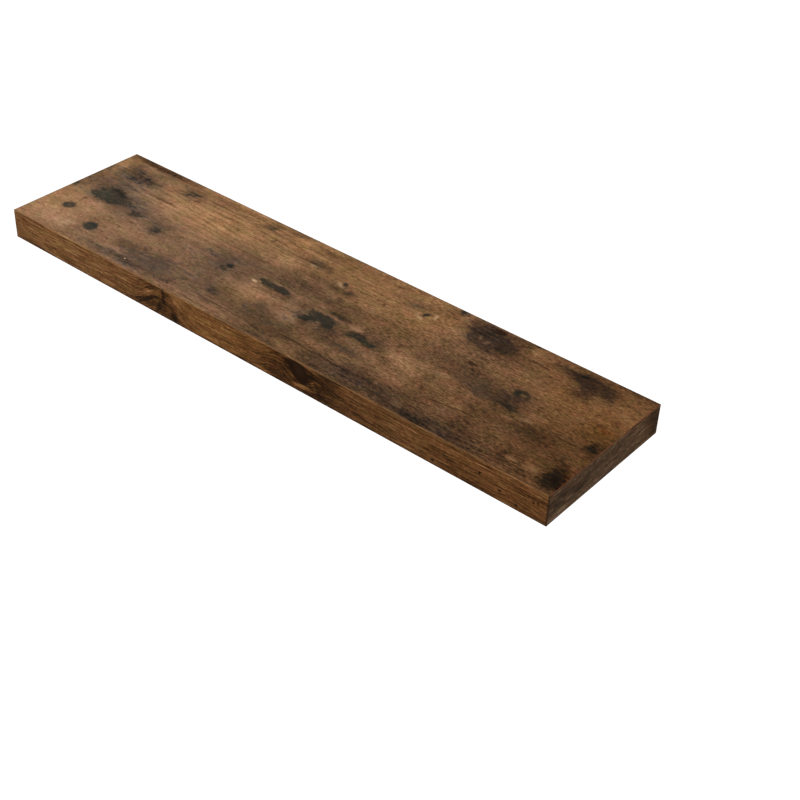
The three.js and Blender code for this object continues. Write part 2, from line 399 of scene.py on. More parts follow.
# %% Screw without its thread
HEAD_RADIUS = 3.8 * MM
HEAD_RIM = 0.4 * MM
HEAD_SIDES = 64
SCREW_STEPS = ((1.8, 2.0), (0.9, 1.95), (0.25, 1.4), (7.8, 1.4), (0.9, 0.8), (0.45, 0.25))
ARM_LENGTH = 2.1 * MM
ARM_WIDTH = 0.5 * MM
RECESS_DEPTH = 1.5 * MM
RECESS_TAPER = 0.55


screw = rod_blank("screw", HEAD_RADIUS, (0, 0, 0), (0, 0, HEAD_RIM), "Z", HEAD_SIDES)
pick(screw, "FACE", faces_up)
pull_out(Vector((0, 0, 1)), SCREW_STEPS, HEAD_RADIUS)
for x, y in ((ARM_LENGTH, ARM_WIDTH), (ARM_WIDTH, ARM_LENGTH)):
    driver = block("driver", (-x, -y, -OVERRUN), (x, y, RECESS_DEPTH))
    pick(driver, "FACE", faces_up)
    bpy.ops.transform.resize(
        value=(RECESS_TAPER, RECESS_TAPER, 1), center_override=(0, 0, RECESS_DEPTH))
    cut(screw, driver)

# %% Its thread
THREAD_RADIUS = 1.98 * MM
THREAD_START = 3.7 * MM
THREAD_PITCH = 1.25 * MM
THREAD_TURNS = 5
THREAD_STEPS = 40
THREAD_FLATNESS = 0.6
CORE_RADIUS = 1.4 * MM


def thread_ridge():
    """A triangle beside the core, wound up the screw and closed at both ends."""
    select_nothing()
    height = THREAD_RADIUS - CORE_RADIUS
    crest = (THREAD_RADIUS, 0, THREAD_START)
    bpy.ops.mesh.primitive_circle_add(
        vertices=3, radius=height, fill_type="NOTHING", rotation=(math.pi / 2, math.pi / 2, 0),
        location=(THREAD_RADIUS - height, 0, THREAD_START))
    ridge = started("ridge")
    bpy.ops.object.mode_set(mode="EDIT")
    bpy.ops.mesh.select_all(action="SELECT")
    bpy.ops.transform.resize(value=(1, 1, THREAD_FLATNESS), center_override=crest)
    bpy.ops.object.mode_set(mode="OBJECT")
    wind = ridge.modifiers.new("wind", "SCREW")
    wind.axis = "Z"
    wind.angle = 2 * math.pi
    wind.screw_offset = THREAD_PITCH
    wind.iterations = THREAD_TURNS
    wind.steps = wind.render_steps = THREAD_STEPS
    wind.use_merge_vertices = False
    bpy.ops.object.modifier_apply(modifier=wind.name)
    bpy.ops.object.mode_set(mode="EDIT")
    bpy.ops.mesh.select_mode(type="VERT")
    bpy.ops.mesh.select_all(action="DESELECT")
    bpy.ops.mesh.select_non_manifold()
    bpy.ops.mesh.fill()
    bpy.ops.mesh.select_all(action="SELECT")
    bpy.ops.mesh.remove_doubles(threshold=CLOSE / 100)
    bpy.ops.mesh.normals_make_consistent(inside=False)
    bpy.ops.object.mode_set(mode="OBJECT")
    return ridge


# %% The two screws
alone(screw, thread_ridge())
bpy.ops.object.join()
smoothed(screw, 35)
for side in screw_boxes:
    piece = copied(screw, "screw_" + side, (rod_middles[side], screw_y, screw_head))
    put_in_place(piece, "lock_screw_" + side, "lock_screw_" + side)
bpy.data.objects.remove(screw)

# %% [markdown]
# ## Maths with Python's own signs
# A finish is a tree of nodes, and most of those nodes only add and multiply. Written as nodes, even a
# short sum is hard to read. This small class wraps a socket so that `1 - mask` or `stain * 0.5` adds the
# Math node by itself. Every other node comes from its method `node`.

# %% A socket that can be reckoned with
class Wire:
    """A node's output. Python's operators on it add Math nodes to the finish that is being drawn."""

    tree = None

    def __init__(self, socket):
        self.socket = socket

    @classmethod
    def node(cls, kind, settings=None, inputs=None, output=0):
        """Adds a node: its settings come first, then the values or wires of its sockets."""
        made = cls.tree.nodes.new(kind if kind.startswith("NodeGroup") else "ShaderNode" + kind)
        for name, value in (settings or {}).items():
            if name == "stops":
                cls.set_stops(made.color_ramp.elements, value)
            else:
                setattr(made, name, value)
        for name, value in (inputs or {}).items():
            if isinstance(value, Wire):
                cls.tree.links.new(value.socket, made.inputs[name])
            else:
                made.inputs[name].default_value = value
        return made if output is None or not made.outputs else cls(made.outputs[output])

    @staticmethod
    def set_stops(elements, stops):
        while len(elements) < len(stops):
            elements.new(1)
        for element, (position, color) in zip(elements, stops):
            element.position = position
            element.color = (*color, 1)

    def math(self, operation, *others):
        values = dict(enumerate((self, *others)))
        return Wire.node("Math", {"operation": operation}, values)

    def __add__(self, other):
        return self.math("ADD", other)

    __radd__ = __add__

    def __mul__(self, other):
        return self.math("MULTIPLY", other)

    def __sub__(self, other):
        return self.math("SUBTRACT", other)

    def __rsub__(self, other):
        return Wire.node("Math", {"operation": "SUBTRACT"}, {0: other, 1: self})

    def __truediv__(self, other):
        return self.math("DIVIDE", other)

    def __pow__(self, other):
        return self.math("POWER", other)


# %% [markdown]
# Patterns are easier to place in millimetres, so every finish starts from the object's own coordinates
# times a thousand. A pattern that lies on one face only needs two of the three numbers: along the grain
# and across it.

# %% Tools for drawing a finish
FLAT_DEPTH = 60
WIDEST_RIM = 0.98


def new_finish(name, draw, *details):
    """A material. What its nodes are is up to the function draw."""
    material = bpy.data.materials.new(name)
    material.use_nodes = True
    material.node_tree.nodes.clear()
    Wire.tree = material.node_tree
    draw(*details)
    return material


def spot():
    """The place on the object, in millimetres."""
    metres = Wire.node("TexCoord", output="Object")
    return Wire.node("VectorMath", {"operation": "SCALE"}, {0: metres, "Scale": 1 / MM})


def parts(vector):
    return [Wire.node("SeparateXYZ", None, {0: vector}, axis) for axis in "XYZ"]


def flat(along, across, depth=0.0):
    return Wire.node("CombineXYZ", None, {"X": along, "Y": across, "Z": depth})


def moved(vector, step):
    return Wire.node("VectorMath", {"operation": "ADD"}, {0: vector, 1: step})


def noise(where, size, detail=3.0, roughness=0.55, color=False):
    """Cloudy noise with grains of about size = (along, across) or (along, across, through) millimetres."""
    scale = [1 / part for part in (*size, FLAT_DEPTH)[:3]]
    grain = Wire.node("Mapping", None, {"Vector": where, "Scale": scale})
    kind = {"Vector": grain, "Scale": 1.0, "Detail": detail, "Roughness": roughness}
    return Wire.node("TexNoise", None, kind, "Color" if color else "Fac")


def around(value, strength):
    """Noise as a push up or down about nothing."""
    return (value - 0.5) * strength


def eased(value, low, high, new_low=0.0, new_high=1.0):
    """Runs from new_low at low to new_high at high, with soft ends."""
    given = {"Value": value, "From Min": low, "From Max": high, "To Min": new_low, "To Max": new_high}
    return Wire.node("MapRange", {"interpolation_type": "SMOOTHSTEP", "clamp": False}, given)


def blend(under, over, amount, how="MIX"):
    """Lays a colour over another. What lies over may be a wire or three numbers."""
    if not isinstance(over, Wire):
        over = (*over, 1)
    settings = {"data_type": "RGBA", "blend_type": how}
    return Wire.node("Mix", settings, {0: amount, 6: under, 7: over}, 2)


def inked(color, ink, amount=1.0):
    """A clear ink over a colour, which it darkens and tints."""
    return blend(color, ink, amount, "MULTIPLY")


def ramp(value, stops):
    return Wire.node("ValToRGB", {"stops": stops}, {0: value})


def wander(where, size, reach, seed):
    """Pushes a place about by up to half of reach, so that what is drawn there gets a ragged outline."""
    shaken = noise(moved(where, (seed, seed, seed)), size, 2.0, 0.6, True)
    centred = moved(shaken, (-0.5, -0.5, -0.5))
    push = Wire.node("VectorMath", {"operation": "MULTIPLY"}, {0: centred, 1: (*reach, 0)})
    return moved(where, push)


def growth_lines(across, swing, spacing):
    """Lines of growth: each year's wood darkens slowly and then stops short."""
    return (across / spacing + swing).math("FRACT") ** 3


def patch(where, middle, halves, rim, strength, turned=0):
    """A soft oval of the given half sizes. Its rim fades over rim times its size, inwards and outwards."""
    (x, y), (along, across) = middle, halves
    if turned:
        spin = {"Vector": where, "Center": (x, y, 0), "Angle": math.radians(-turned)}
        where = Wire.node("VectorRotate", {"rotation_type": "Z_AXIS"}, spin)
    fit = {0: where, 1: (1 / along, 1 / across, 0), 2: (-x / along, -y / across, 0)}
    local = Wire.node("VectorMath", {"operation": "MULTIPLY_ADD"}, fit)
    reach = Wire.node("VectorMath", {"operation": "LENGTH"}, {0: local}, "Value")
    return eased(reach, 1 + rim, 1 - rim, 0.0, strength)


# %% [markdown]
# A print has several hundred patches. They go into node groups, one for each kind, because a small tree
# is quick to build and both faces of the board can use the same ones.

# %% Groups of nodes
def group_of(name, outputs, draw):
    """A node group that takes a place and gives what draw makes of it, as {output name: kind}."""
    group = bpy.data.node_groups.new(name, "ShaderNodeTree")
    group.interface.new_socket("Place", in_out="INPUT", socket_type="NodeSocketVector")
    for label, kind in outputs.items():
        group.interface.new_socket(label, in_out="OUTPUT", socket_type="NodeSocket" + kind)
    outer, Wire.tree = Wire.tree, group
    drawn = draw(Wire.node("NodeGroupInput"))
    Wire.node("NodeGroupOutput", None, dict(enumerate(drawn)))
    Wire.tree = outer
    print(name, "has", len(group.nodes), "nodes")
    return group


def use_group(group, place, output=0):
    return Wire.node("Group", {"node_tree": group}, {"Place": place}, output)


def patches(name, rims, together="ADD", softer=1.0):
    """All the ovals of one kind in one mask, as a group. Softer widens every rim."""
    def draw(where):
        total = None
        for rim, rows in rims.items():
            soft = min(rim * softer, WIDEST_RIM)
            for x, y, along, across, percent, *turned in rows:
                oval = patch(where, (x, y), (along, across), soft, percent / 100, *turned)
                total = oval if total is None else total.math(together, oval)
        return [total]
    return group_of(name, {"Mask": "Float"}, draw)


def finish_surface(color, roughness, specular, height, relief, metallic=0.0):
    """The shader: what varies goes in as wires, and what is the same all over is set on the socket."""
    normal = Wire.node("Bump", None, {"Height": height, "Distance": relief, "Strength": 1.0})
    shader = Wire.node("BsdfPrincipled", None, {
        "Base Color": color,
        "Roughness": roughness,
        "Specular IOR Level": specular,
        "Metallic": metallic,
        "Normal": normal,
    })
    Wire.node("OutputMaterial", None, {"Surface": shader})


# %% [markdown]
# ## The print on the top
# The foil shows an old softwood board. Its print is built up as a printer would lay the inks:
#
# 1. a tan ground, with streaks, fibres and flecks that run along the board, and tints that drift;
# 2. lighter and darker patches, and warmer and cooler ones, where the wood was worn or shaded; the broadest
# of them are partly painted light on the left end and painted shade on the right end;
# 3. smoke, rust, burns and near-black stains, which soak into the grain;
# 4. pale glints, knots with a hard rim, thin cracks along the grain and small dark pips, on top;
# 5. last, a darkening towards the right end of the print, which is partly painted shade for the lamp's
# falloff along the board and partly the print's own tone.
#
# Each patch is one row of a table: its middle along and across the board, its two half sizes, its
# strength in hundredths and, where it has one, its turn in degrees. Rows with equally soft rims stand
# together, from left to right, under the share of the half size over which the rim fades. The places
# were read off the photograph, in millimetres from the middle of the back edge.

# %% Lighter and darker patches
# The broadest rows, lighter on the left end and darker on the right end, are partly painted light and
# painted shade for the lamp's falloff along the board.
shades = patches("top_shades", {
    0.5: [(75, -109, 9, 5, 14)],
    0.6: [
        (-348, -14, 14, 6, 12), (-345, -3, 48, 7, -20), (-60, -133, 30, 12, 10), (48, -112, 14, 2, 8),
        (197, -186, 7, 5, 14), (297, -127, 11, 3, 12, 6), (315, -118, 10, 3.5, 12, 8),
        (338, -178, 8, 4.5, 10), (362, -177, 10, 5.5, 10),
    ],
    0.7: [
        (-391, -28, 9, 14, 12), (-385, -55, 10, 12, 8), (-375, -150, 55, 45, 13),
        (-338, -81, 13, 5, -14), (-330, -84, 16, 5, -8), (-88, -12, 14, 8, 12), (-40, -118, 20, 4, -16),
        (-40, -39, 17, 7, -8), (24, -135, 8, 7, -14), (85, -135, 20, 4, 8), (155, -126, 26, 8, 12, -4),
        (155, -16, 9, 14, 12), (245, -10, 6, 8, -14), (328, -176, 4, 12, -16, 20),
        (385, -3, 30, 5, -16), (392, -185, 12, 14, -10), (392, -100, 12, 20, -12),
        (395, -122, 6, 16, -10),
    ],
    0.8: [
        (-375, -145, 24, 30, -5), (-375, -108, 12, 8, 7), (-360, -47, 8, 7, 10),
        (-350, -122, 10, 12, -6), (-350, -96, 9, 7, 14), (-344, -178, 18, 7, 8), (-340, -122, 14, 6, 5),
        (-327, -180, 9, 9, 8), (-320, -77, 14, 4, 8), (-316, -168, 10, 8, -6), (-305, -50, 8, 9, 8),
        (-300, -55, 16, 9, -10), (-300, -45, 130, 40, 8), (-290, -190, 18, 7, 12),
        (-290, -60, 14, 6, -6), (-278, -146, 8, 7, 7), (-272, -54, 14, 5, -8), (-265, -126, 26, 7, 9),
        (-260, -140, 16, 6, 6), (-250, -184, 18, 6, 10), (-250, -178, 20, 4, 8),
        (-242, -165, 14, 6, -7), (-242, -46, 12, 14, -4), (-225, -138, 20, 8, 6),
        (-215, -185, 26, 4, -9), (-215, -58, 90, 20, 10), (-204, -71, 18, 5, -7),
        (-202, -165, 9, 6, 10), (-200, -3, 60, 3, 12), (-190, -143, 8, 7, -6), (-190, -34, 30, 7, 5),
        (-180, -107, 24, 5, -7), (-180, -101, 26, 5, 6), (-168, -65, 16, 5, -7),
        (-162, -184, 16, 11, -8), (-150, -102, 14, 8, 6), (-136, -40, 10, 16, -5),
        (-130, -155, 22, 9, 7), (-120, -144, 8, 12, -7), (-120, -86, 44, 5, 7), (-110, -15, 30, 6, 6),
        (-95, -25, 32, 8, 7), (-92, -60, 5, 18, -7), (-88, -112, 12, 20, -9), (-78, -58, 14, 10, 11),
        (-60, -4, 30, 4, 10), (-38, -88, 9, 6, 9), (-35, -88, 44, 15, -6), (-35, -45, 38, 16, -4),
        (-30, -190, 160, 7, 2), (-10, -62, 40, 5, -9), (0, -196, 44, 4, -14), (0, -142, 20, 7, 8),
        (0, -115, 18, 6, -10), (0, -14, 40, 10, -6), (5, -148, 10, 16, 14), (5, -51, 6, 5, 8),
        (6, -82, 16, 6, 8), (12, -100, 14, 5, 6), (12, -45, 18, 10, -5), (15, -62, 16, 6, -10),
        (24, -142, 12, 5, -12), (40, -190, 26, 7, 14), (50, -98, 24, 8, -6), (56, -135, 16, 12, -14),
        (60, -88, 130, 14, -8), (60, -66, 24, 6, 8), (60, -38, 90, 28, 7), (66, -184, 12, 6, -8),
        (66, -152, 10, 5, -9), (77, -133, 6, 8, 7), (82, -190, 26, 8, -10), (85, -176, 20, 6, -14),
        (90, -196, 40, 5, 3), (100, -116, 14, 4, -8), (100, -106, 10, 8, -8), (110, -160, 14, 4, 7),
        (112, -113, 9, 4, -10), (120, -196, 50, 5, -16), (120, -143, 26, 6, 12), (125, -52, 20, 5, 6),
        (128, -137, 7, 5, 8), (128, -122, 8, 6, -10), (130, -84, 50, 4, 7), (135, -132, 12, 8, -8),
        (140, -136, 16, 7, -6), (142, -171, 10, 5, -9), (150, -122, 26, 12, 8), (160, -40, 22, 10, 7),
        (162, -155, 26, 9, 12), (165, -68, 26, 20, 4), (167, -110, 10, 6, -8), (175, -50, 9, 7, -8),
        (175, -36, 8, 6, 6), (185, -27, 7, 5, -14), (190, -156, 9, 22, -6), (190, -114, 26, 6, 13),
        (190, -68, 30, 8, -6), (195, -88, 60, 10, -7), (202, -166, 10, 6, -8), (205, -128, 9, 16, 10),
        (205, -104, 26, 4, -6), (232, -8, 16, 7, -16), (242, -166, 12, 8, 7), (242, -150, 16, 12, 11),
        (250, -172, 160, 36, -6), (255, -14, 12, 8, 14), (262, -191, 14, 5, 12),
        (268, -132, 14, 16, -8), (278, -36, 14, 7, 6), (284, -176, 18, 6, -11), (300, -62, 50, 20, 6),
        (300, -60, 9, 14, 6), (305, -172, 12, 6, 7), (310, -148, 22, 12, 13), (312, -108, 16, 5, 8),
        (320, -98, 16, 10, 6), (322, -34, 12, 6, 6), (330, -46, 8, 7, -9), (340, -22, 8, 8, 5),
        (345, -168, 8, 12, -12, 30), (345, -158, 18, 8, 12), (360, -157, 14, 8, -8),
        (372, -98, 18, 9, -8), (375, -45, 30, 30, 8), (388, -172, 10, 16, -16),
    ],
    0.9: [
        (-90, -40, 110, 25, 6), (-10, -170, 50, 20, -9), (30, -190, 60, 14, -6),
        (330, -136, 60, 16, -7),
    ],
})

# %% [markdown]
# In this table a strength above nothing is golden, and one below it silvery.

# %% Warmer and cooler patches
hues = patches("top_hues", {
    0.8: [(388, -172, 12, 14, 90)],
    0.9: [
        (-390, -35, 14, 30, 40), (-388, -120, 20, 80, 35), (-345, -60, 40, 30, -25),
        (-325, -68, 44, 22, -35), (-300, -163, 12, 8, -40), (-300, -98, 60, 20, -60, -4),
        (-250, -180, 18, 12, 55), (-240, -120, 12, 10, -35), (-230, -178, 100, 16, -40),
        (-200, -120, 90, 24, -30), (-190, -56, 30, 16, 30), (-190, -48, 70, 24, 12),
        (-180, -182, 60, 12, -25), (-110, -118, 40, 26, -30), (-90, -15, 16, 12, 30),
        (-60, -142, 28, 20, 40), (-40, -22, 180, 24, 28), (-38, -96, 52, 24, -40),
        (-28, -148, 8, 6, -50), (25, -175, 44, 26, 45), (30, -128, 26, 12, -50), (60, -35, 90, 30, 20),
        (88, -146, 16, 8, 30), (106, -112, 16, 8, -40), (110, -70, 50, 24, 25), (120, -180, 24, 8, -40),
        (150, -30, 20, 16, 25), (190, -22, 30, 20, -45), (200, -140, 120, 30, 20),
        (205, -62, 50, 42, -45), (220, -182, 110, 14, -22), (225, -194, 40, 7, -40),
        (285, -92, 18, 12, -60), (305, -44, 16, 14, 30), (318, -56, 20, 12, 40),
        (330, -32, 26, 18, -35), (372, -125, 44, 70, 60), (385, -82, 18, 16, 60),
    ],
})

# %% Where the grain is strongly lined
grained = patches("top_grain", {
    0.7: [
        (-230, -50, 120, 34, 75), (-140, -14, 90, 12, 55), (-90, -36, 40, 14, 40),
        (-60, -190, 140, 8, 50), (255, -32, 30, 14, 70), (290, -188, 120, 13, 95),
    ],
    0.8: [(50, -40, 110, 26, 45)],
})

# %% Smoky smudges
smoke = patches("top_smoke", {
    0.6: [(-203, -168, 50, 19, 85), (-44, -39, 16, 7, 95)],
    0.7: [
        (-384, -88, 24, 32, 70), (-366, -22, 10, 8, 55), (-352, -44, 46, 27, 95),
        (-342, -68, 15, 7, 60), (-318, -12, 30, 7, 55), (-297, -104, 24, 9, 55),
        (-262, -186, 34, 8, 55), (-122, -120, 17, 13, 60), (-42, -160, 7, 12, 30), (15, -66, 16, 6, 40),
        (22, -63, 6, 5, 60), (92, -148, 18, 4, 40), (97, -27, 12, 6, 45), (145, -182, 50, 14, 60),
        (193, -131, 6, 8, 45), (250, -188, 60, 9, 60), (252, -111, 30, 9, 60), (282, -97, 16, 14, 45),
        (320, -122, 9, 5, 25), (380, -155, 18, 18, 50),
    ],
    0.8: [
        (-358, -112, 20, 7, 40), (-312, -82, 16, 6, 45), (-300, -122, 40, 10, 35),
        (-284, -92, 42, 13, 70, -6), (-268, -24, 16, 14, 65), (-240, -192, 50, 6, 50),
        (-178, -166, 16, 18, 45), (-170, -120, 50, 14, 40), (-150, -68, 30, 9, 35),
        (-130, -96, 38, 18, 65), (-122, -155, 34, 15, 70, -12), (-95, -84, 24, 12, 30),
        (-60, -168, 60, 16, 42), (-25, -86, 40, 12, 20), (-6, -59, 13, 6, 45), (70, -140, 60, 16, 40),
        (92, -150, 32, 8, 40), (92, -31, 15, 10, 55), (215, -90, 30, 14, 35), (248, -102, 30, 14, 60),
        (330, -132, 60, 16, 40), (365, -112, 24, 7, 40),
    ],
    0.9: [(8, -165, 36, 24, 55)],
}, softer=1.5)

# %% Burns and rust
burns = patches("top_burns", {
    0.5: [
        (196, -20, 38, 15, 90, -2), (325, -19, 25, 13, 90), (386, -184, 10, 9, 70),
        (388, -178, 13, 19, 70),
    ],
    0.6: [
        (188, -26, 16, 16, 80), (195, -14, 9, 7, 35), (206, -35, 27, 14, 90), (278, -99, 14, 9, 55),
        (284, -79, 7, 4, 50), (330, -35, 12, 15, 85), (353, -27, 14, 11, 60), (390, -110, 12, 9, 60),
    ],
    0.7: [
        (-340, -38, 30, 12, 80), (-330, -4, 60, 7, 50), (118, -176, 9, 8, 60), (145, -182, 28, 11, 68),
        (196, -196, 34, 5, 30), (262, -193, 46, 8, 75), (295, -16, 18, 6, 65), (350, -24, 10, 8, 30),
        (386, -160, 12, 9, 65, -20),
    ],
    0.8: [
        (-270, -26, 16, 9, 70), (40, -150, 30, 8, 30), (60, -88, 100, 10, 25, 2),
        (90, -184, 24, 10, 35), (336, -132, 22, 12, 55),
    ],
}, softer=1.5)
rust = patches("top_rust", {
    0.6: [
        (-374, -60, 6, 8, 40), (-360, -120, 4, 5, 60), (200, -6, 16, 5, 50), (388, -175, 11, 14, 80),
        (399, -155, 5, 28, 60),
    ],
    0.7: [(-345, -4, 50, 7, 60), (6, -117, 12, 6, 40), (196, -10, 10, 6, 50), (382, -80, 13, 11, 34)],
    0.8: [
        (-210, -8, 60, 6, 45), (-20, -14, 60, 8, 35), (340, -170, 12, 16, 30, 30),
        (376, -76, 12, 8, 30),
    ],
})

# %% Near-black stains
stains = patches("top_stains", {
    0.25: [(-48, -110, 25, 6, 95)],
    0.3: [(-64, -110, 9, 6.5, 35)],
    0.35: [(35, -120, 13, 6.5, 98), (50, -127, 9, 5.5, 95, -24), (146, -5, 6, 6, 95)],
    0.4: [
        (-287, -109, 10, 6, 95), (-117, -114, 6, 6, 98), (-34, -111, 14, 6, 60),
        (84, -122, 13, 5.2, 90, -4), (312, -15, 6, 6, 95),
    ],
    0.45: [(-351, -86, 21, 10, 64), (-329, -98, 21, 12, 85, 4)],
    0.5: [
        (-397, -104, 8, 7, 65), (-360, -101, 9, 6, 40), (-352, -104, 15, 6, 50),
        (-341, -95, 38, 20, 44, 2), (-240, -118, 10, 8, 90, -12), (-228, -103, 5, 4.5, 35),
        (-143, -180, 5, 7, 70, -10), (-142, -15, 9, 5, 80), (-93, -166, 8, 7, 65, 10),
        (46, -104, 17, 4.5, 90), (90, -112, 6, 6, 62), (101, -125, 11, 6, 60), (222, -194, 24, 6, 85),
        (282, -110, 13, 5, 65, -4), (392, -110, 8, 7, 98),
    ],
    0.6: [
        (-399, -45, 6, 9, 55), (-352, -48, 9, 6, 36), (-344, -65, 10, 3.5, 45),
        (-205, -186, 60, 3.5, 55), (-136, -170, 4, 5, 50), (-114, -126, 7, 7, 35),
        (-37, -144, 5, 5, 35), (-31, -150, 7, 4.5, 60, -10), (12, -136, 11, 6, 85, 10),
        (25, -129, 9, 7, 75, 24), (32, -126, 6, 4, 50), (114, -123, 14, 8, 62, -4),
        (168, -186, 5, 10, 45), (288, -111, 12, 5, 60, -6), (376, -148, 6, 5, 45),
    ],
    0.7: [
        (-399, -75, 6, 28, 40), (-354, -38, 18, 9, 36), (-335, -41, 14, 7, 38), (-325, -43, 10, 6, 36),
        (-247, -104, 14, 9, 40, 20), (40, -126, 30, 13, 50), (186, -26, 10, 7, 55),
        (200, -18, 13, 8, 55), (217, -33, 11, 8, 40),
    ],
}, softer=1.6)

# %% [markdown]
# A row below nothing takes some of a knot away again, which leaves its heart light.

# %% Knots, and the pale glints beside them
knots = patches("top_knots", {
    0.14: [(387, -176, 10, 13, 50, -6)],
    0.22: [(-361, -146, 9, 7.5, 95, 14), (-303, -162, 10, 9, 100, -20)],
    0.25: [(116, -37, 2.8, 5.5, 95, -32), (283, -85, 10, 7, 90, -4)],
    0.3: [(8, -51, 3, 3.6, 90, 30)],
    0.4: [(-265, -25, 2.4, 4.5, 75), (146, -3, 4.5, 5, 40)],
    0.5: [(-161, -102, 3, 4, 40), (286, -86, 3.8, 2.8, -85)],
    0.6: [(-360, -147, 4.5, 3, -14, 10), (-305, -164, 5, 4, -6), (388, -177, 6, 9, -48, -6)],
}, softer=1.6)
glints = patches("top_glints", {
    0.4: [(-218, -184, 1.3, 1.4, 90)],
    0.5: [(-74, -116, 4.5, 2.2, 85, -10), (285, -86, 2.6, 1.8, 18)],
    0.6: [
        (-338, -60, 6, 1.4, 20, 10), (-46, -46, 6, 2, 40), (-42, -103, 18, 1.4, 16),
        (6, -56, 9, 3.5, 50, -10), (110, -26, 9, 3, 25), (112, -45, 7, 2.6, 60, -24),
        (127, -33, 2.4, 5, 70), (187, -30, 2.6, 4, 45, 20), (198, -34, 3, 5, 40, -30),
        (285, -106, 5, 1.2, 30, 4), (297, -127, 11, 2.6, 30, 6), (315, -118, 9, 3, 30, 8),
        (338, -178, 7, 3.6, 34), (353, -78, 5, 1.5, 30), (361, -177, 9, 4, 34),
    ],
}, "MAXIMUM", 1.5)

# %% Cracks
cracks = patches("top_cracks", {
    0.4: [(211, -76, 6, 2.2, 100, 8)],
    0.5: [
        (-360, -128, 0.9, 13, 60, 4), (-120, -22, 100, 0.9, 50), (-110, -44, 90, 0.8, 45, 1),
        (-110, -14, 26, 1.2, 40, 28), (-105, -78, 50, 0.8, 40), (-65, -180.5, 70, 0.9, 60),
        (-52, -42, 4.5, 2.8, 75, 10), (-9, -184, 11, 1.5, 85, -10), (42, -174.5, 21, 1.1, 100, -1),
        (98, -177, 34, 0.8, 90), (142, -176, 22, 0.8, 80, 2), (178, -189, 34, 0.8, 70, -8),
        (232, -154, 20, 0.9, 85, 8), (258, -150, 16, 0.9, 85, 5), (300, -124, 18, 0.9, 65, -2),
        (358, -84, 3, 1.5, 75, -10), (372, -118.5, 24, 0.9, 70, 3), (392, -121, 12, 1, 60),
    ],
    0.6: [
        (-360, -122, 2.4, 3, 60, 10), (-276, -141, 3, 2, 55, -30), (-252, -32, 4, 2, 60),
        (-229, -22, 5, 2.2, 50), (-215, -155, 3, 1.6, 65, -20), (-212, -148, 2.6, 1.5, 45, -20),
        (-118, -38, 2.5, 4, 45, 10), (26, -79, 5, 3.6, 60), (67, -53, 2.2, 1.8, 55),
        (200, -149, 3.5, 2, 50, 20), (282, -15, 6, 1.6, 60), (376, -73, 4, 3, 50),
    ],
}, "MAXIMUM")

# %% [markdown]
# The ground carries all of it. Noise that is stretched along the board gives streaks, finer noise gives
# fibres and flecks, and broad noise gives clouds of light and of hue. A gentle sideways drift keeps the
# streaks from being ruled lines. The right half of the board is crisper than the left one. The recipe
# takes a place on the board as its input, because the underside uses it too, turned end for end.

# %% The wood ground
TAN_GROUND = [
    (0.00, (0.014, 0.010, 0.006)),
    (0.20, (0.053, 0.030, 0.015)),
    (0.42, (0.145, 0.077, 0.035)),
    (0.62, (0.258, 0.140, 0.068)),
    (0.82, (0.400, 0.224, 0.115)),
    (1.00, (0.600, 0.385, 0.215)),
]
TINTS = [
    (0.32, (0.88, 0.955, 0.82)),
    (0.50, (0.96, 0.94, 0.92)),
    (0.68, (1.03, 0.905, 0.93)),
]
FRONT_CAST = (0.96, 0.98, 1.07)
GOLDEN = (1.06, 1.00, 0.76)
SILVERY = (0.93, 1.00, 1.24)
TOP_YEAR = 7.5
CRISP_SPAN = (-80, 200)
FRONT_SPAN = (-50, -150)


def wood_ground(where, ragged):
    """The clean wood: its colour, its streaks and fibres, and how readily the grain takes in an ink."""
    along, across, _ = parts(where)
    drifting = wander(where, (160, 60), (0, 26), 3.7)
    streaks = noise(drifting, (80, 4.2), 5.0, 0.65)
    fibres = noise(drifting, (14, 1.15), 3.0, 0.7)
    flecks = noise(where, (5.5, 2.8), 5.0, 0.8)
    specks = noise(where, (5.0, 1.3), 1.0, 0.5)
    mottle = noise(where, (18, 11), 4.0, 0.65)
    clouds = noise(where, (70, 36), 3.0, 0.6)
    crumbs = noise(moved(where, (70, 40, 0)), (8, 5), 3.0, 0.7)
    bite = around(streaks, 1.2) + around(fibres, 1.3) + around(flecks, 1.8)
    bite = bite + around(mottle, 1.2) + around(crumbs, 1.3)

    swing = around(noise(where, (240, 70), 2.0), 7.0)
    years = growth_lines(across, swing, TOP_YEAR)
    lined = use_group(grained, ragged)
    crisp = eased(along, *CRISP_SPAN, 0.35, 1.0)
    tone = 0.52 + around(streaks, 1.0) * (0.38 + lined * 0.40) + around(flecks, 1.00)
    tone = tone + around(specks, 0.85) * crisp + around(fibres, 1.0) * (0.50 + crisp * 0.45)
    tone = tone + around(mottle, 0.60) + around(clouds, 0.40)
    tone = tone - years * (0.04 + lined * 0.20)
    # The shades bring in painted light on the left end and painted shade on the right end, besides the
    # print's own patches.
    tone = tone + use_group(shades, ragged) * 1.2

    color = inked(ramp(tone, TAN_GROUND), ramp(noise(where, (26, 13), 3.0, 0.65), TINTS))
    color = inked(color, FRONT_CAST, eased(across, *FRONT_SPAN))
    hue = use_group(hues, ragged)
    color = inked(inked(color, GOLDEN, hue), SILVERY, 0 - hue)
    return color, streaks, fibres, bite


# %% [markdown]
# Inks multiply what lies under them, so the grain shows through a stain as it does on real wood, and an
# ink sits deeper where the grain is dark. Only the heart of a near-black stain covers the wood.

# %% Inks that soak in
SMOKE = (0.38, 0.45, 0.57)
RUST = (0.66, 0.40, 0.26)
BURNT = (0.20, 0.22, 0.29)
TARNISH = (0.138, 0.226, 0.29)
STAIN = (0.026, 0.023, 0.016)


def soaked(mask, bite, veil):
    """How much ink shows: an even veil, and the rest where the grain has taken it in."""
    mask = mask.math("MINIMUM", 1.0)
    taken = mask * veil + eased(mask + bite, 0.15, 1.30, 0.0, 1.0 - veil)
    return taken * (1.0 + bite * 0.7)


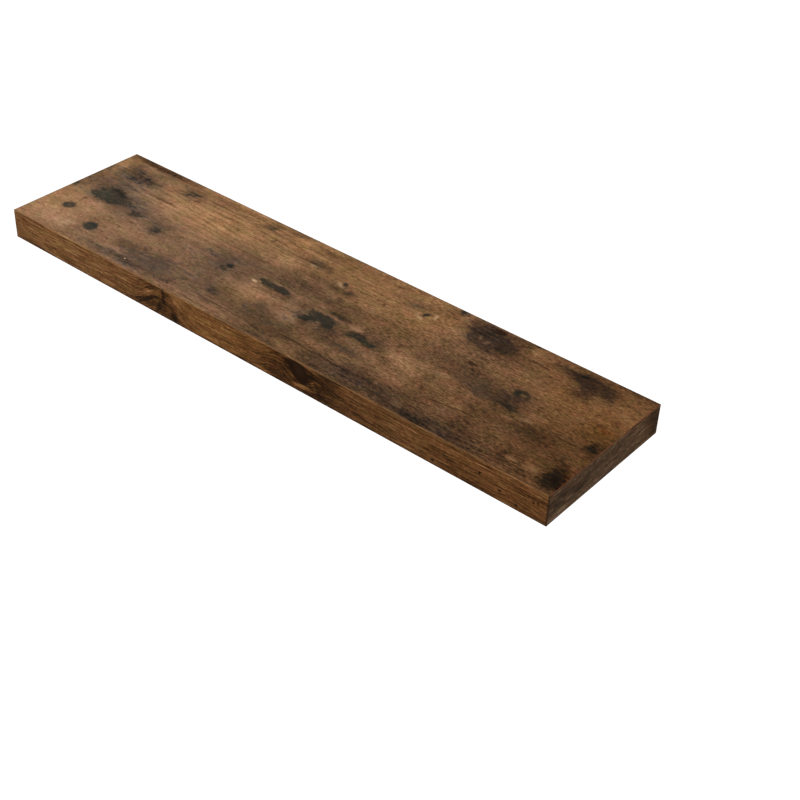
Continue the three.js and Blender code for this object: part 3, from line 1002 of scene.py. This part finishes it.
def inks_over(color, where, ragged, bite):
    """Adds an even grime, then the smudges, the rust, the burns and the stains."""
    dust = noise(moved(where, (310, 90, 0)), (58, 26), 4.0, 0.62)
    grime = around(dust, 3.0) + bite * 0.8
    color = inked(color, SMOKE, eased(grime, 0.05, 0.85, 0.0, 0.55))
    for group, ink, veil in ((smoke, SMOKE, 0.15), (rust, RUST, 0.15), (burns, BURNT, 0.45)):
        color = inked(color, ink, soaked(use_group(group, ragged), bite, veil))
    blots = use_group(stains, ragged)
    color = inked(color, TARNISH, soaked(blots, bite, 0.50))
    return blend(color, STAIN, eased(blots + bite * 0.6, 0.75, 1.55, 0.0, 0.6))


# %% Marks that lie on top
PALE = (0.480, 0.310, 0.175)
KNOT_INK = (0.018, 0.020, 0.016)
CRACK = (0.036, 0.018, 0.009)


def marks_over(color, where, steady, bite):
    """Adds the glints, the knots, the cracks and a few dark pips."""
    shining = use_group(glints, steady)
    color = blend(color, PALE, shining * eased(shining + bite, 0.0, 0.5))
    color = blend(color, KNOT_INK, use_group(knots, steady) * (0.97 + bite * 0.35))
    color = blend(color, CRACK, use_group(cracks, steady) * (0.95 + bite * 0.5))
    pips = noise(moved(where, (20, 160, 0)), (4.2, 2.8), 1.5, 0.5)
    return blend(color, CRACK, eased(pips, 0.70, 0.80, 0.0, 0.55))


# %% The whole print
# Darker and browner towards the right end of the print: partly painted shade for the lamp's falloff along
# the board, and partly the print's own tone.
PAINTED_FALLOFF = (0.71, 0.62, 0.51)
PAINTED_FALLOFF_SPAN = (-60, 420)


def draw_board(where):
    """The colour of the printed board, with the streaks and fibres that its relief and gloss follow."""
    ragged = wander(wander(where, (30, 14), (26, 14), 11.3), (7, 3.4), (12, 7), 1.9)
    steady = wander(where, (8, 6), (6, 4.5), 7.1)
    color, streaks, fibres, bite = wood_ground(where, ragged)
    color = inks_over(color, where, ragged, bite)
    color = marks_over(color, where, steady, bite)
    # Painted shade towards the right end, together with the print's own darker tone there.
    color = inked(color, PAINTED_FALLOFF, eased(parts(where)[0], *PAINTED_FALLOFF_SPAN))
    return [color, streaks, fibres]


board_print = group_of("board_print", {"Color": "Color", "Streaks": "Float", "Fibres": "Float"}, draw_board)

# %% [markdown]
# ## Raw boards, paper and zinc
# Where the foil stops, the board shows what it is: fibreboard, glued up from fine brown fibres, and
# recycled paper. The bracket is plain zinc-plated steel.

# %% Fibreboard and foil
FOIL_DEPTH = 0.25
FOIL_BLUR = 0.05
FOIL_SPECULAR = 0.03
FOIL_RELIEF = 0.25 * MM
BOARD_DEPTH = -cad_low[1] / MM
SKIN_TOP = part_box("top_skin")[1].z / MM


def raw_board(where):
    fluff = noise(where, (1.4, 1.4, 0.8), 4.0, 0.65)
    sheets = noise(where, (30, 30, 0.7), 2.0, 0.5)
    color = ramp(0.5 + around(fluff, 0.9) + around(sheets, 0.35), [
        (0.15, (0.180, 0.100, 0.045)),
        (0.50, (0.370, 0.235, 0.120)),
        (0.85, (0.540, 0.380, 0.220)),
    ])
    return color, fluff


def draw_skin(underside):
    """A thin board with the print on its outer face and raw fibre on its cut edges."""
    place = spot()
    along, across, up = parts(place)
    where = flat(0 - along, -BOARD_DEPTH - across) if underside else flat(along, across)
    printed = use_group(board_print, where, None)
    color, streaks, fibres = [Wire(printed.outputs[label]) for label in ("Color", "Streaks", "Fibres")]
    core, fluff = raw_board(place)
    outward = 0 - up if underside else up
    foil_start = SKIN_TOP - FOIL_DEPTH
    foiled = eased(outward, foil_start - FOIL_BLUR, foil_start + FOIL_BLUR)
    roughness = 0.9 - foiled * (0.22 + around(streaks, 0.3))
    height = foiled * (streaks * 0.6 + fibres * 0.4) + (1 - foiled) * fluff
    finish_surface(blend(core, color, foiled), roughness, FOIL_SPECULAR, height, FOIL_RELIEF)


top_finish = new_finish("printed_top", draw_skin, False)
bottom_finish = new_finish("printed_underside", draw_skin, True)

# %% [markdown]
# ## The edge bands
# The front band has a print of its own, warmer and straighter in the grain than the top. Its rows are
# measured along the shelf and up from its middle.

# %% Patches and knots of the front band
front_shades = patches("front_shades", {
    # The long thin row along the bottom edge, at -18.2, is painted shade along that edge.
    0.5: [(-337, -10, 12, 1.2, -20, -22), (0, -18.2, 420, 1.3, -12), (80, -11, 15, 2.4, 50, 4)],
    0.6: [
        (-350, -17, 40, 2, -20, -4), (-280, -2, 20, 1.3, -16), (-185, -13, 20, 3, -20, 18),
        (-150, 3, 60, 0.9, -12, 2), (-137, 9, 2.8, 9, -34, 4), (20, -16, 12, 2.2, 22),
        (78, 2, 22, 15, -14, -30),
    ],
    0.7: [
        (-162, -3, 28, 2.2, -16, 26), (-157, 7, 16, 3.4, 20, 25), (-145, -9, 3.4, 8, -26, -24),
        (-122, -13, 6, 5, -12), (94, -3, 3, 7, 20, 24),
    ],
    0.8: [
        (-160, -8, 8, 5, -12), (-156, 12, 12, 4, -16, 10), (-152, -2, 38, 22, -12),
        (-150, -3, 8, 6, -10), (-136, -6, 5, 6, -12), (-135, -8, 10, 12, -10), (-130, 12, 6, 5, -14),
        (-120, -1, 8, 6, -20), (-118, -11, 5.5, 6, -34), (-116, 4, 8, 12, 8), (-114, 10, 9, 7, 16),
        (-103, 0, 6, 4, -14), (-86, -5, 14, 4, -10), (-66, -12, 18, 5, 10), (8, -3, 20, 10, -8),
        (47, 1, 24, 14, -20, 24), (54, -4, 6, 6, -12), (60, -13, 30, 5, -16), (66, 10, 9, 7, -16),
        (100, 4, 8, 10, 4), (104, -13, 12, 5, -14), (104, 2, 28, 18, -30), (150, -5, 24, 5, -14, -14),
        (250, -10, 90, 6, -5), (280, -3, 22, 5, -8), (304, 12, 16, 6, 18), (310, -8, 18, 5, 10),
        (330, -14, 70, 5, -4),
    ],
    0.9: [(-300, 0, 130, 18, 12), (-62, 0, 60, 14, 11), (250, -8, 170, 10, 3)],
})
front_knots = patches("front_knots", {
    0.14: [(74, 5.5, 14.5, 11, 98, -42)],
    0.3: [(317, 3, 1.7, 1.5, 100), (342, -6, 1.7, 1.4, 100)],
    0.4: [
        (258, -13, 2.4, 1.3, 100), (363, -13, 1.7, 1.4, 95), (382.5, 2, 1.3, 1.2, 90),
        (387.5, 4, 1.3, 1.2, 90),
    ],
    0.5: [(166, -9.5, 10, 0.7, 60, -8), (180, -9, 2, 1.2, 60, 20), (280, -2, 7, 1.8, 60)],
}, "MAXIMUM")

# %% [markdown]
# The grain lines of the front band swing up over two knots, and round the eye of the right one. So the
# streaks are drawn at a height that is bent there.

# %% Front band print
WARM_GROUND = [
    (0.00, (0.010, 0.005, 0.002)),
    (0.25, (0.044, 0.018, 0.0055)),
    (0.50, (0.119, 0.051, 0.0165)),
    (0.75, (0.207, 0.098, 0.036)),
    (1.00, (0.360, 0.200, 0.085)),
]
FRONT_KNOT = (0.013, 0.0048, 0.0014)
KNOT_HEART = (0.030, 0.0125, 0.0055)
EMBER = (1.08, 1.00, 0.78)
RUDDY = (1.00, 0.94, 0.89)
# The colour of the painted highlight along the band's rounded top edge.
PAINTED_EDGE_HIGHLIGHT = (0.27, 0.15, 0.07)
DARK_CORNER_STRIP = (0.03, 0.016, 0.009)
FRONT_YEAR = 3.6
BAND_EDGE = SKIN_TOP - 0.5
BAND_END = cad_high[0] / MM
BAND_RELIEF = 0.3 * MM


def bent_height(where, up):
    """The height at which the grain line that runs here would lie if it ran straight."""
    eye = patch(where, (72, 4), (30, 19), 0.9, 0.82, -20)
    rise = patch(where, (66, 0), (36, 80), 0.8, 13.0)
    crest = patch(where, (-137, 0), (30, 80), 0.85, 22.0)
    return up - (up - 4) * eye - rise * (1 - eye) - crest


def band_surface(color, roughness, streaks, fibres):
    height = streaks * 0.7 + fibres * 0.3
    finish_surface(color, roughness + around(streaks, 0.2), FOIL_SPECULAR, height, BAND_RELIEF)


def draw_front_band():
    along, _, up = parts(spot())
    where = flat(along, up)
    bent = bent_height(where, up)
    drifting = wander(flat(along, bent), (110, 30), (0, 7), 5.1)
    streaks = noise(drifting, (70, 2.3), 5.0, 0.68)
    fibres = noise(drifting, (24, 0.8), 3.0, 0.65)
    flecks = noise(where, (5, 2.0), 4.0, 0.65)
    clouds = noise(where, (40, 12), 3.0, 0.6)
    swing = around(noise(where, (150, 30), 2.0), 6.0)
    years = growth_lines(bent, swing, FRONT_YEAR)
    ragged = wander(where, (12, 5), (7, 3.5), 2.3)
    steady = wander(where, (7, 4), (3.6, 2.8), 8.2)

    tone = 0.54 + around(streaks, 1.25) + around(fibres, 1.50) + around(flecks, 0.85)
    tone = tone + around(clouds, 0.65) - years * 0.20
    tone = tone + use_group(front_shades, ragged) * 1.15
    color = inked(ramp(tone, WARM_GROUND), ramp(noise(where, (26, 7), 3.0, 0.6), TINTS))
    color = inked(color, EMBER, patch(where, (-10, 0), (110, 60), 0.6, 0.6))
    color = inked(color, RUDDY, patch(where, (360, 0), (90, 60), 0.8, 1.0))
    hard = use_group(front_knots, steady)
    color = blend(color, FRONT_KNOT, hard * (0.98 + around(flecks, 0.9) + around(streaks, 0.5)))
    heart = patch(steady, (73, 8.5), (9, 6), 0.7, 0.5, -42)
    color = blend(color, KNOT_HEART, heart * (1.0 + around(flecks, 3.6) + around(fibres, 1.6)))
    # A painted highlight along the rounded top edge, where it catches the light.
    color = blend(color, PAINTED_EDGE_HIGHLIGHT, eased(up, BAND_EDGE - 0.3, BAND_EDGE, 0.0, 0.35))
    # A dark strip over the last two millimetres of the front face, by the right corner.
    color = blend(color, DARK_CORNER_STRIP, eased(along, BAND_END - 1.8, BAND_END - 0.6, 0.0, 0.9))
    band_surface(color, 0.74, streaks, fibres)


front_finish = new_finish("printed_front_band", draw_front_band)

# %% [markdown]
# The two end bands are darker and greyer, with soft streaks along them.

# %% End band print
end_shades = patches("end_shades", {
    0.6: [(-100, -17.5, 110, 1.4, 12)],
    0.7: [(-52, 10, 20, 3, -5, 4)],
    0.8: [
        (-180, 4, 18, 5, -18), (-178, -14, 24, 4, 22), (-165, -3, 16, 3, 14, -24),
        (-144, -1, 12, 9, -22, -20), (-130, -10, 18, 4, 12), (-118, 15, 14, 3, 16),
        (-112, 4, 16, 5, -10), (-85, -1, 46, 3, 10, -4), (-75, 0, 12, 8, -14), (-70, 8, 16, 4, 10),
        (-60, -9, 40, 3, 10), (-38, 13, 10, 4, 16), (-30, -12, 22, 3, -8), (-30, -4, 18, 5, 10),
        (-16, 10, 10, 5, -8), (-12, 2, 12, 12, -14), (-4, -8, 8, 12, -14),
    ],
    0.9: [(-100, 0, 110, 1.6, 4)],
})
DUSK_GROUND = [
    (0.00, (0.012, 0.009, 0.006)),
    (0.30, (0.048, 0.027, 0.014)),
    (0.55, (0.103, 0.058, 0.031)),
    (0.80, (0.168, 0.102, 0.058)),
    (1.00, (0.270, 0.180, 0.105)),
]
REAR_CAST = (1.12, 1.0, 0.84)
REAR_SPAN = (-70, -10)
RUBBED_EDGE = (0.14, 0.045, 0.020)


def draw_end_band(seed):
    """The print of an end band. The seed is the depth at which the noise is cut, so two ends can differ."""
    _, across, up = parts(spot())
    where = flat(across, up, seed)
    drifting = wander(where, (60, 20), (0, 8), 4.4)
    streaks = noise(drifting, (34, 2.6), 4.0, 0.65)
    fibres = noise(drifting, (7, 0.9), 3.0, 0.65)
    flecks = noise(where, (5, 2.4), 4.0, 0.7)
    clouds = noise(where, (30, 10), 3.0, 0.6)
    ragged = wander(flat(across, up), (14, 6), (8, 4), 6.6)

    tone = 0.53 + around(streaks, 1.6) + around(fibres, 1.15) + around(clouds, 0.9) + around(flecks, 0.9)
    tone = tone + use_group(end_shades, ragged) * 1.3
    color = inked(ramp(tone, DUSK_GROUND), ramp(noise(where, (24, 8), 3.0, 0.6), TINTS))
    color = inked(color, REAR_CAST, eased(across, *REAR_SPAN))
    color = blend(color, RUBBED_EDGE, eased(up, BAND_EDGE - 0.5, BAND_EDGE + 0.1, 0.0, 0.6))
    band_surface(color, 0.76, streaks, fibres)


right_finish = new_finish("printed_right_band", draw_end_band, 0.0)
left_finish = new_finish("printed_left_band", draw_end_band, 90.0)

# %% Plain materials
RAW_RELIEF = 0.4 * MM
PAPER_RELIEF = 0.2 * MM
ZINC_RELIEF = 0.08 * MM


def draw_raw():
    color, fluff = raw_board(spot())
    finish_surface(color, roughness=0.9, specular=0.2, height=fluff, relief=RAW_RELIEF)


def draw_paper():
    place = spot()
    pulp = noise(place, (2.5, 2.5, 2.5), 4.0, 0.6)
    flecks = noise(place, (0.5, 0.5, 1.4), 2.0, 0.5)
    color = ramp(0.5 + around(pulp, 0.5) + around(flecks, 0.7), [
        (0.20, (0.270, 0.150, 0.060)),
        (0.50, (0.430, 0.270, 0.125)),
        (0.85, (0.560, 0.390, 0.210)),
    ])
    finish_surface(color, roughness=0.92, specular=0.15, height=pulp, relief=PAPER_RELIEF)


def draw_zinc():
    place = spot()
    haze = noise(place, (14, 14, 14), 4.0, 0.6)
    drawn = noise(place, (18, 1.2, 0.6), 3.0, 0.55)
    color = ramp(0.5 + around(haze, 0.8) + around(drawn, 0.3), [
        (0.25, (0.32, 0.33, 0.35)),
        (0.55, (0.44, 0.45, 0.48)),
        (0.80, (0.54, 0.54, 0.53)),
    ])
    roughness = 0.46 + around(haze, 0.25) + around(drawn, 0.15)
    finish_surface(color, roughness, specular=0.5, height=drawn, relief=ZINC_RELIEF, metallic=1.0)


zinc = new_finish("zinc_steel", draw_zinc)
raw = new_finish("raw_fibreboard", draw_raw)
paper = new_finish("kraft_paper", draw_paper)

# %% Put the finishes on
PRINTED = {
    "top_skin": top_finish,
    "bottom_skin": bottom_finish,
    "front_edge_band": front_finish,
    "left_edge_band": left_finish,
    "right_edge_band": right_finish,
}
PLAIN = {"zinc_steel": zinc, "raw_fibreboard": raw, "kraft_paper": paper}
for row in frame["record"]["subparts"]:
    node = row["node"]
    piece = own_pieces.get(node, nodes[node])
    material = PRINTED.get(node) or PLAIN[row["material_slot"]]
    piece.data.materials.clear()
    piece.data.materials.append(material)
    print(node, "is finished as", material.name)

# %% [markdown]
# ## Floor and light
# The shelf hangs at the height of a low wall shelf over a white floor. One soft lamp stands on the left,
# so the left end of the top is the lightest part, and a broad ceiling light fills in the rest. Neither is
# mirrored in the metal: what it mirrors is the white background. The top's print adds painted light on
# its left end and painted shade on its right end to this fall of light.

# %% Tools for light
WHITE = (1, 1, 1, 1)


def seen_by(*kinds):
    """Says yes for rays of these kinds: 1, and 0 for all others."""
    seen, *others = [Wire.node("LightPath", output="Is " + kind + " Ray") for kind in kinds]
    for other in others:
        seen = seen.math("MAXIMUM", other)
    return seen


def hung(name, kind, energy):
    """A light and the object that holds it, which metal doesn't mirror."""
    light = bpy.data.lights.new(name, kind)
    light.energy = energy
    holder = bpy.data.objects.new(name, light)
    holder.visible_glossy = False
    bpy.context.scene.collection.objects.link(holder)
    return light, holder


# %% Floor
FLOOR_DROP = 1.3
FLOOR_SIZE = 24.0
FLOOR_COLOR = (0.86, 0.86, 0.86, 1)
FLOOR_GLOW = 1.6
GLOW_SHARE = 0.45


def draw_floor():
    matt = Wire.node("BsdfDiffuse", None, {"Color": FLOOR_COLOR})
    glow = Wire.node("Emission", None, {"Color": WHITE, "Strength": FLOOR_GLOW})
    glowing = seen_by("Camera", "Glossy") * GLOW_SHARE
    surface = Wire.node("MixShader", None, {0: glowing, 1: matt, 2: glow})
    Wire.node("OutputMaterial", None, {"Surface": surface})


select_nothing()
bpy.ops.mesh.primitive_plane_add(size=FLOOR_SIZE, location=(0, 0, -FLOOR_DROP))
floor = bpy.context.object
floor.name = "floor"
floor.data.materials.append(new_finish("white_floor", draw_floor))

# %% World
ROOM_LEVEL = 0.45
world = bpy.data.worlds.new("white_room")
bpy.context.scene.world = world
world.use_nodes = True
world.node_tree.nodes.clear()
Wire.tree = world.node_tree
dim = Wire.node("Background", None, {"Color": WHITE, "Strength": ROOM_LEVEL})
white = Wire.node("Background", None, {"Color": WHITE, "Strength": 1.0})
shown = seen_by("Camera", "Glossy", "Transmission")
surface = Wire.node("MixShader", None, {0: shown, 1: dim, 2: white})
Wire.node("OutputWorld", None, {"Surface": surface})

# %% Lamps
LAMP_PLACE = Vector((-0.95, -0.55, 0.95))
LAMP_AIM = Vector((-0.25, -0.1, 0))
LAMP_SIZE = 0.8
LAMP_WATTS = 11
CEILING_STRENGTH = 1.3
CEILING_SPREAD = math.radians(50)
CEILING_TURN = (math.radians(32), math.radians(-14), 0)

lamp, lamp_holder = hung("left_lamp", "AREA", LAMP_WATTS)
lamp.shape = "DISK"
lamp.size = LAMP_SIZE
lamp_holder.location = LAMP_PLACE
lamp_holder.rotation_euler = (LAMP_AIM - LAMP_PLACE).to_track_quat("-Z", "Y").to_euler()
ceiling, ceiling_holder = hung("ceiling_light", "SUN", CEILING_STRENGTH)
ceiling.angle = CEILING_SPREAD
ceiling_holder.rotation_euler = CEILING_TURN

bpy.context.scene.view_settings.view_transform = "Standard"
